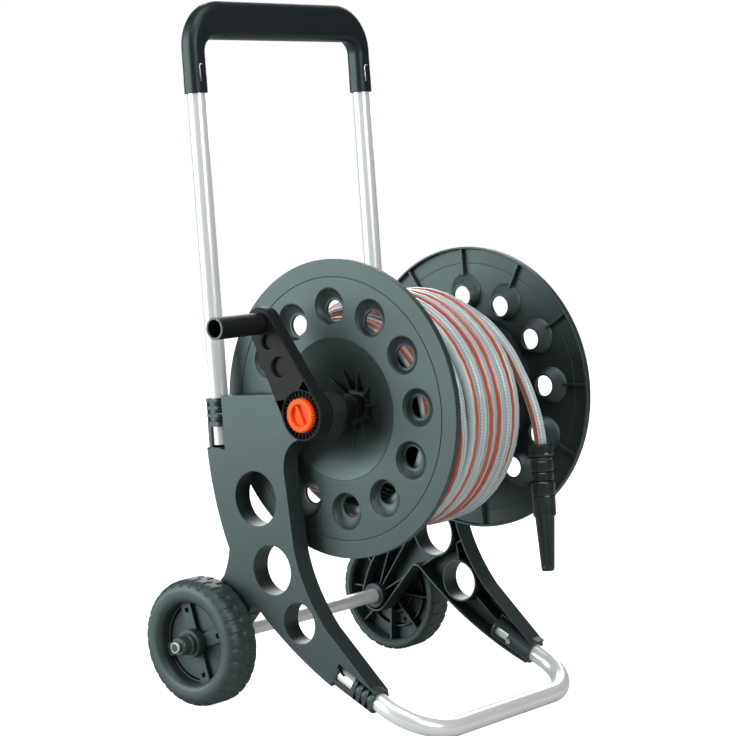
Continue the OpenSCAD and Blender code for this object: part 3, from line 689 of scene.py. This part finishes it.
# ------------------------------------------------------------------ tubes
for name, s in (("handle_tube_left", -1), ("handle_tube_right", 1)):
    shape = Shape()
    lathe(shape, rounded([(0, -H_LOW), (TUBE_R, -H_LOW), (TUBE_R, HH + 23.8), (0, HH + 23.8)], 0.8),
          side(s) @ HANDLE, 64)
    build(name, shape, "root", "tube", (name,))

shape = Shape()
half = TUBE_X - F_BEND
line = [(-TUBE_X, F_LEG, 0), (-TUBE_X, 110, 0), (-TUBE_X, F_BEND + 4, 0)]
line += [(y, z, 0) for y, z in arc(-half, F_BEND, F_BEND, 180, 270, 24)]
line += [(x, 0, 0) for x in (-60, 0, 60)]
line += [(y, z, 0) for y, z in arc(half, F_BEND, F_BEND, 270, 360, 24)]
line += [(TUBE_X, F_BEND + 4, 0), (TUBE_X, 110, 0), (TUBE_X, F_LEG, 0)]
sweep(shape, line, TUBE_R, 48, FOOT)
build("foot_tube", shape, "root", "tube", ("foot_tube",))

shape = Shape()
lathe(shape, rounded([(8.5, -AXLE_END), (10, -AXLE_END), (10, AXLE_END), (8.5, AXLE_END)], 0.6),
      AX @ move(AY, AZ, 0), 48)
build("wheel_axle", shape, "root", "tube", ("wheel_axle",))

# ------------------------------------------------------------------ grip
shape = Shape()
w, gap, top = TUBE_X + 14.3, TUBE_X - 14.3, HH + 123
outline = ([(w, HH + 6)] + arc(w - 64, top - 64, 64, 0, 90, 24) + arc(64 - w, top - 64, 64, 90, 180, 24)
           + [(-w, HH + 6), (-gap, HH + 6)] + arc(18 - gap, top - 69.5, 18, 180, 90, 12)
           + arc(gap - 18, top - 69.5, 18, 90, 0, 12) + [(gap, HH + 6)])
PLANE = move(0, HY, 0) @ turn(-LEAN, "X") @ turn(90, "X")
plate(shape, outline, [], -14, 14, 11, PLANE, 9)
leg = (arc(3.3, 3, 11, 0, 90, 9) + arc(-3.3, 3, 11, 90, 180, 9)
       + arc(-3.3, -3, 11, 180, 270, 9) + arc(3.3, -3, 11, 270, 360, 9))
for s in (-1, 1):
    ends = [(x, y, z) for z in (HH, HH + 0.6, HH + 22) for x, y in
            ([(x * 0.97, y * 0.97) for x, y in leg] if z == HH else [(x * 1.012, y * 1.012) for x, y in leg])]
    n = len(leg)
    faces = [(i * n + j, i * n + (j + 1) % n, (i + 1) * n + (j + 1) % n, (i + 1) * n + j)
             for i in range(2) for j in range(n)]
    shape.add(ends, faces + [tuple(range(n)), tuple(range(2 * n, 3 * n))], side(s) @ HANDLE)
build("handle_grip", shape, "root", "grip", ("handle_grip",))

shape = Shape()
for s in (-1, 1):
    m = PLANE @ move(s * TUBE_X, 0, 14.1)
    hook = [(-3.6, HH + 15, 0), (-3.9, HH + 24, 0), (-4.2, HH + 34, 0)]
    hook += [(y, z, 0) for y, z in arc(-0.6, HH + 34.5, 3.6, 180, 60, 8)]
    sweep(shape, hook, lambda t: 0.9 + 0.25 * math.sin(math.pi * t), 10, m)
build("grip_clips", shape, "root", "steel", ("grip_clips",))


# ------------------------------------------------------------------ wheels
def wheel(name, s):
    shape, m = Shape(), side(s) @ AX @ move(AY, AZ, 0)
    web = W_OUT - 21
    tyre = ([(WR - 36, web - 3.5), (WR - 14, web - 3.5), (WR - 14, W_IN + 3), (WR - 11, W_IN), (WR - 6, W_IN)]
            + [(WR - 6 + 6 * math.sin(RAD(a)), W_IN + 6 - 6 * math.cos(RAD(a))) for a in range(10, 91, 16)]
            + [(WR, W_IN + 6 + i * 2.2) for i in range(1, 12)]
            + [(WR - 16 + 16 * math.cos(RAD(a)), W_OUT - 16 + 16 * math.sin(RAD(a))) for a in range(0, 91, 9)]
            + [(WR - 20 - 11 * math.sin(RAD(a)), W_OUT - 11 + 11 * math.cos(RAD(a)))
               for a in range(10, 91, 16)]
            + [(WR - 31.5, web + 1.5), (WR - 33, web), (WR - 36, web)])

    def tread(r, z, t):
        """Blocks along both shoulders, set off by half a block from side to side."""
        if r < WR - 9 or z < W_IN + 1:
            return r
        row = 0 if z < W_IN + 21 else 1
        if z > W_OUT - 3:
            return r
        turn_at = (math.degrees(t) / 12 + 0.5 * row) % 1
        cut = 1 if turn_at < 0.26 else 0
        across = 1 if abs(z - (W_IN + 21)) > 2.2 else 0.35
        return r - 1.4 * cut * across

    lathe(shape, tyre, m, 360, wave=tread)
    lathe(shape, rounded([(10.06, W_IN), (15.5, W_IN), (15.5, web + 4), (19.5, web + 5), (19.5, W_OUT - 2),
                          (10.06, W_OUT - 2)], 1.0), m, 64)
    side_to_side = [(17, -9), (WR - 27, -9), (WR - 27, 9), (17, 9)]
    slot = [(WR - 44, -3.2), (WR - 38, -3.2), (WR - 38, 3.2), (WR - 44, 3.2)]
    slots = []
    for a in (-20, 70, 160, 250):
        c, d = math.cos(RAD(a)), math.sin(RAD(a))
        slots.append([(x * c - y * d, x * d + y * c) for x, y in slot])
        # local x runs out along the spoke
        plate(shape, side_to_side, [slot], -0.6, 6.5, 0.8, m @ turn(a, "Z") @ move(0, 0, web))
    plate(shape, circle(0, 0, WR - 33, 120), [circle(0, 0, 15, 48)] + slots, web - 3.5, web, 0.2, m)
    for a in range(0, 360, 45):
        plate(shape, [(14, -1.2), (WR - 13, -1.2), (WR - 13, 1.2), (14, 1.2)], [], W_IN + 8, web - 2, 0.3,
              m @ turn(a, "Z"))
    for r in (30, 52):
        lathe(shape, rounded([(r, W_IN + 16), (r + 2, W_IN + 16), (r + 2, web - 2), (r, web - 2)], 0.3),
              m, 72)
    return build(name, shape, name, "wheel", (name,), sharp=38)


wheel("wheel_left", -1)
wheel("wheel_right", 1)
for name, s in (("hub_cap_left", -1), ("hub_cap_right", 1)):
    shape, m = Shape(), side(s) @ AX @ move(AY, AZ, 0)
    lathe(shape, rounded([(0, W_OUT - 1.6), (14.5, W_OUT - 1.6), (14.5, W_OUT + 2), (12.6, W_OUT + 4),
                          (12.4, AXLE_END - 2), (11.4, AXLE_END + 1), (0, AXLE_END + 1)], 1.2, 4), m, 56)
    build(name, shape, "root", "cap", (name,))
    shape = Shape()
    lathe(shape, rounded([(0, AXLE_END), (6.3, AXLE_END), (6.3, AXLE_END + 7), (5, AXLE_END + 8),
                          (0, AXLE_END + 8)], 0.5), m, 40)
    build(name + "_stub", shape, "root", "cap")
    shape = Shape()
    lathe(shape, rounded([(5.6, AXLE_END + 3.5), (6.7, AXLE_END + 3.5), (6.7, AXLE_END + 7.4),
                          (5.6, AXLE_END + 7.4)], 0.4), m, 40)
    build(name + "_ring", shape, "root", "tube")


# ------------------------------------------------------------------ drum
def flange(name, s):
    shape, m = Shape(), side(s) @ AX
    rim = FLANGE_R * 0.88
    cups = []
    for k in range(12):
        a = RAD(30 * k - PHASE)
        cups.append((-CUP_R * math.sin(a), CUP_R * math.cos(a), a))
    openings = [circle(0, 0, EYE_R, 120)] + [circle(y, z, CUP_MOUTH, 48) for y, z, _ in cups]
    plate(shape, circle(0, 0, rim, 180), openings, WEB_IN, WEB_OUT, 0.9, m, 3)
    lathe(shape, rounded([(rim + 0.4, WEB_IN), (191.6, WEB_IN), (192, 135.4), (FLANGE_R, 135.4),
                          (FLANGE_R, WEB_OUT), (rim + 0.4, WEB_OUT)], 0.9, 3), m, 180)
    lathe(shape, [(rim - 2, 142.4), (rim + 3, 142.4), (rim + 3, 144.2), (rim - 2, 144.2)], m, 120)
    # dish from the flat ring down to the hub
    dish = []
    for i in range(19):
        t = i / 18
        dish.append((92.6 - 66.6 * t, 145 - 33.6 * (0.72 * t + 0.28 * t * t)))
    back = [(r, x - 3) for r, x in dish[::-1]]
    edge = [(94, 143.6), (92.9, 144.8)]
    lathe(shape, [(94, 141.6)] + edge + dish + [(20, 111), (14.1, 111), (14.1, 95)]
          + [(21, 95), (21.4, 107)] + back[:-1], m, 120)
    for k in range(12):
        ray = m @ turn(20 + 30 * k, "Z")
        fin = [(22, 110), (50, 123.5), (50, 126.8), (34, 121.5), (22, 116.5)]
        cross = ray @ Matrix(((1, 0, 0, 0), (0, 0, -1, 0), (0, 1, 0, 0), (0, 0, 0, 1)))
        plate(shape, fin, [], -0.9, 0.9, 0.35, cross)
    for k in range(8):
        ray = m @ turn(22.5 + 45 * k, "Z")
        block(shape, (20, -1.2, 99), (50, 1.2, 109), ray, 0.4)
    for y, z, a in cups:
        radial = Vector((-math.sin(a), math.cos(a)))
        rings = [(CUP_MOUTH, 144.1, 0), (23.6, 143.2, 0), (22.4, 140.5, 0.5), (20.0, 137.4, 3),
                 (17.6, 135.2, 5.2), (16.6, 134.8, 6), (14.6, 134.8, 6), (13.8, 134.2, 6),
                 (13.75, 131.6, 6), (14.4, 131.2, 6), (16.6, 131.6, 6), (18.8, 134.6, 4.4),
                 (22.2, 137.6, 2.2), (24.8, 140.6, 0.4), (25.4, 142.6, 0)]
        verts, faces, n = [], [], 48
        for r, x, back_by in rings:
            c = Vector((y, z)) - radial * back_by
            verts += [(c.x + r * math.cos(2 * math.pi * j / n), c.y + r * math.sin(2 * math.pi * j / n), x)
                      for j in range(n)]
        for i in range(len(rings)):
            h = (i + 1) % len(rings)
            for j in range(n):
                k = (j + 1) % n
                faces.append((i * n + j, i * n + k, h * n + k, h * n + j))
        shape.add(verts, faces, m)
        bar = m @ turn(math.degrees(math.atan2(z, y)), "Z")
        block(shape, (CUP_R + 22, -1.6, 136.6), (192.2, 1.6, 142.4), bar, 0.5)
    return build(name, shape, "reel", "flange", (name,), sharp=36)


flange("flange_left", -1)
flange("flange_right", 1)

# ------------------------------------------------------------------ crank
shape, m = Shape(), side(-1) @ AX
along = Vector(GRIP_AT).normalized()
across = Vector((-along.y, along.x))


def arm_outline(r0, r1, lobe_r):
    """Two round ends joined by straight sides, with a round lobe standing out of the rear side."""
    line = [Vector(p) for p in hull((0, 0), r0, GRIP_AT, r1)]
    lobe, out = along * 88 - across * 8.5, []
    for i, p in enumerate(line):
        q = line[(i + 1) % len(line)]
        out.append(tuple(p))
        d = q - p
        if d.length > 60 and (p + q).dot(across) < 0:
            f = p - lobe
            b, c = f.dot(d) / d.dot(d), (f.dot(f) - lobe_r ** 2) / d.dot(d)
            root = math.sqrt(b * b - c)
            ends = [p + d * (-b - root) - lobe, p + d * (-b + root) - lobe]
            a0, a1 = [math.degrees(math.atan2(e.y, e.x)) for e in ends]
            a1 = a0 + (a1 - a0 + 180) % 360 - 180
            mid = RAD((a0 + a1) / 2)
            if Vector((math.cos(mid), math.sin(mid))).dot(across) > 0:
                a1 += 360 if a1 < a0 else -360
            out += arc(lobe.x, lobe.y, lobe_r, a0, a1, 24)
    return out


arm_line = arm_outline(33, 21, 20.5)
dimples = [circle(*(along * 107), 9.5, 40), circle(*(along * 70), 12.5, 44)]
pockets = []
for t in (-1, 1):
    c = along * 28.5 + across * t * 24.5
    e = c.normalized()
    f = Vector((-e.y, e.x))
    pockets.append([tuple(c + e * 5.5 - f * t * 1), tuple(c - e * 2.5 + f * 5), tuple(c - e * 2.5 - f * 5)])
plate(shape, arm_line, [circle(0, 0, 30.4, 96)] + dimples + pockets, CR_IN + 8, CR_OUT, 2.2, m, 5)
plate(shape, arm_outline(32.2, 20.2, 19.7), [circle(*GRIP_AT, 6.1, 32)], CR_IN + 8.4, CR_OUT - 5, 0.8, m)
lathe(shape, rounded([(8, CR_IN), (30, CR_IN), (32.6, CR_IN + 3), (32.6, CR_IN + 14), (8, CR_IN + 14)], 1.5),
      m, 96)
for k in range(28):
    block(shape, (24, -0.7, CR_OUT - 6), (30.8, 0.7, CR_OUT - 2.6), m @ turn(k * 360 / 28, "Z"), 0.3)
build("crank_arm", shape, "reel", "crank", ("crank_arm",), sharp=40)

shape = Shape()
at_grip = m @ move(GRIP_AT[0], GRIP_AT[1], 0)
g0, g1 = CR_OUT + 1.5, 297.5
lathe(shape, rounded([(6.06, g0 - 1.1), (11, g0 - 1.1), (11, g0), (14.2, g0), (14.25, g1), (11.65, g1),
                      (11.65, g0 + 34), (6.06, g0 + 34)], 0.9), at_grip, 64)
build("crank_grip", shape, "crank_grip", "crank", ("crank_grip",))
# painted highlight: the grip's end is part of the same black piece, and this thin ring over it in the
# lighter, shinier cap plastic stands in for the light on its rim
shape = Shape()
lathe(shape, rounded([(11.4, g1 - 1.6), (14.4, g1 - 1.6), (14.4, g1 + 0.4), (11.4, g1 + 0.4)], 0.5),
      at_grip, 64)
build("crank_grip_end_painted_highlight", shape, "crank_grip", "cap")

shape = Shape()
teeth = []
for i in range(36):
    for r, o in ((20.6, 0), (22, 2.6), (22, 5.0), (20.6, 7.6)):
        teeth.append((r * math.cos(RAD(i * 10 + o)), r * math.sin(RAD(i * 10 + o))))
plate(shape, teeth, [circle(0, 0, 14.6, 64)], CR_OUT - 4.6, KNOB_OUT, 0.8, m, 3)
plate(shape, circle(0, 0, 15.5, 64), [circle(0, 0, 5.05, 32)], CR_OUT - 4.4, KNOB_OUT - 4.6, 0.3, m)
plate(shape, circle(0, 0, 6, 32), [], KNOB_OUT - 7, KNOB_OUT - 4.4, 0.3, m)
block(shape, (-1.9, -13.6, KNOB_OUT - 5), (1.9, 13.6, KNOB_OUT - 0.6), m @ turn(-27.5, "Z"), 0.9)
build("lock_knob", shape, "lock_knob", "knob", ("lock_knob",))

# ------------------------------------------------------------------ connector and nozzle on the hose's end
AT_END = move(*END) @ turn(180 - END_TILT, "X")


def fluted(depth, count, lo, hi, sharpness=1.0):
    """Shallow flutes along a round part between two heights."""
    def wave(r, z, t):
        if r < 8 or z < lo or z > hi:
            return r
        share = min(1, (z - lo) / 3, (hi - z) / 3)
        return r - depth * share * max(0, math.cos(count * t)) ** sharpness
    return wave


def heights(lo, hi, r0, r1, n):
    return [(r0 + (r1 - r0) * i / n, lo + (hi - lo) * i / n) for i in range(n + 1)]


shape = Shape()
lathe(shape, rounded([(8.1, 0.2), (13.5, 0.2), (16.6, 2.2)], 0.8, closed=False)
      + heights(3, 14.5, 16.9, 16.9, 8) + [(15.6, 16.6), (12.5, 17.2), (12.5, 37), (8.1, 37)],
      AT_END, 96, wave=fluted(1.7, 6, 0.4, 15.5, 0.6))
on_hose = [build("hose_connector", shape, "reel", "nozzle", ("hose_connector",))]
shape = Shape()
lathe(shape, rounded([(12.55, 17.6), (14.2, 17.6), (15.2, 19.2), (14.4, 20.6), (14.0, 22.2), (15.2, 24),
                      (15.2, 33.5), (14.4, 36.3), (12.55, 36.3)], 0.7), AT_END, 80)
on_hose.append(build("connector_sleeve", shape, "reel", "nozzle", ("connector_sleeve",)))
shape = Shape()
lathe(shape, rounded([(4, 24.2), (9, 24.2), (9, 37.4), (13.2, 37.4), (14.6, 39.5), (14.6, 47), (13.2, 49.2),
                      (10.5, 49.4), (10.5, 75), (6, 75.5), (6, 114), (4, 114)], 0.7), AT_END, 64)
on_hose.append(build("nozzle_body", shape, "reel", "nozzle", ("nozzle_body",)))
shape = Shape()
body = [(10.56, 49.7), (14.3, 49.7), (15.6, 51.2)] + heights(52, 66, 15.8, 15.8, 8)
body += [(15.1, 67), (15.1, 68.4), (15.8, 69.4)] + heights(70, 95, 15.7, 15.3, 14)
body += [(14.6, 96.4), (13.2, 97.2)]
cone = heights(98, 164, 12.9, 8.9, 20)
cone += [(8.6, 167), (7.6, 168.9), (5, 169), (5, 158), (7.6, 157.8), (7.6, 77), (10.56, 77)]


def nozzle_flutes(r, z, t):
    """Six flutes along the nozzle's head, deeper on the body (below 97) than on the cone."""
    if r < 8.2:
        return r
    flute = max(0, math.cos(6 * t)) ** 0.7
    if z < 97:
        return r - 2.2 * flute * min(1, max(0, (z - 70) / 14))
    return r - 1.9 * flute * min(1, (166 - min(z, 166)) / 5)


lathe(shape, body + cone, AT_END, 96, wave=nozzle_flutes)
on_hose.append(build("nozzle_head", shape, "nozzle_head", "nozzle", ("nozzle_head",), sharp=45))

# ------------------------------------------------------------------ CAD pieces that show as they are
SLOT_OF = {p["node"]: p["material_slot"] for p in frame["record"]["subparts"]}
for node, ob in frame["nodes"].items():
    ob.data.materials.clear()
    ob.data.materials.append(MAT[SLOT_OF[node]])

# ------------------------------------------------------------------ floor
floor_mat = bpy.data.materials.new("floor")
floor_mat.use_nodes = True
fn, fl = floor_mat.node_tree.nodes, floor_mat.node_tree.links
fb = fn["Principled BSDF"]
fb.inputs["Base Color"].default_value = (0.5, 0.5, 0.5, 1)
fb.inputs["Roughness"].default_value = 0.9
fb.inputs["Specular IOR Level"].default_value = 0.0
fb.inputs["Emission Color"].default_value = (1, 1, 1, 1)
bright = fn.new("ShaderNodeMath")
bright.operation = "MULTIPLY"
bright.inputs[1].default_value = 0.95
ray = fn.new("ShaderNodeLightPath")
fl.new(ray.outputs["Is Camera Ray"], bright.inputs[0])
fl.new(bright.outputs[0], fb.inputs["Emission Strength"])
me = bpy.data.meshes.new("floor")
me.from_pydata([(-14, -14, 0), (14, -14, 0), (14, 14, 0), (-14, 14, 0)], [], [(0, 1, 2, 3)])
me.materials.append(floor_mat)
floor = bpy.data.objects.new("floor", me)
scene.collection.objects.link(floor)

bpy.context.view_layer.update()
